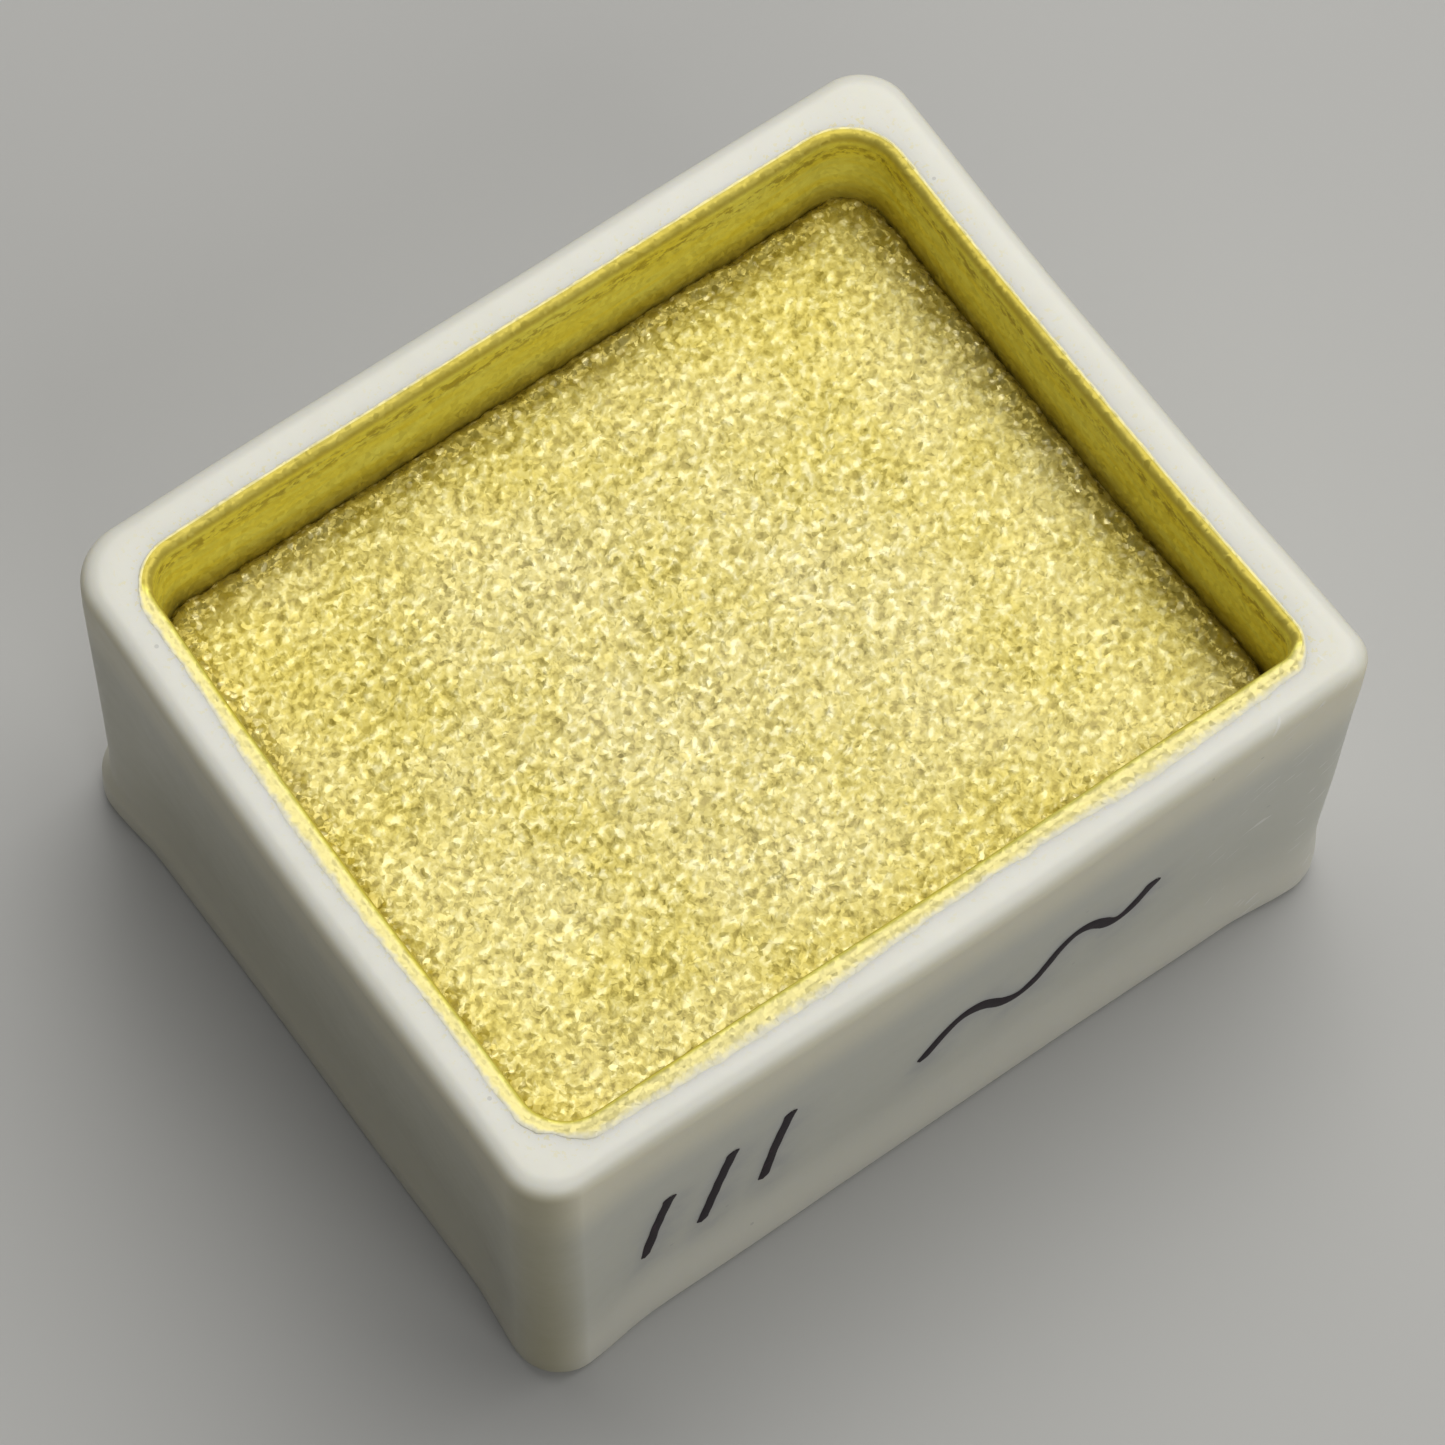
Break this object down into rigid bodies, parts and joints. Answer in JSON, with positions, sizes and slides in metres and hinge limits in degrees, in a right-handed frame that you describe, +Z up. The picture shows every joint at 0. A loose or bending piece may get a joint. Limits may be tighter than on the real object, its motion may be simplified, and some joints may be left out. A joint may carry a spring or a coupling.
{
  "type": "watercolour half pan",
  "caption": "Small moulded plastic paint pan with a cast cake of metallic gold watercolour and a skin of dried paint on its inner walls.",
  "frame": {"origin": "middle of the footprint, on the plane that the pan stands on", "axes": "+X along the long side, +Y along the short side, +Z up out of the open top"},
  "size_m": [0.019, 0.016, 0.01],
  "materials": {
    "pan_plastic": "satin off-white moulded plastic",
    "gold_cake": "granular dried metallic gold paint",
    "gold_film": "smooth thin skin of dried metallic gold paint",
    "ink": "dry marker ink"
  },
  "bodies": {
    "root": {"pan": "pan_plastic", "paint_cake": "gold_cake", "wall_film": "gold_film"}
  },
  "joints": []
}
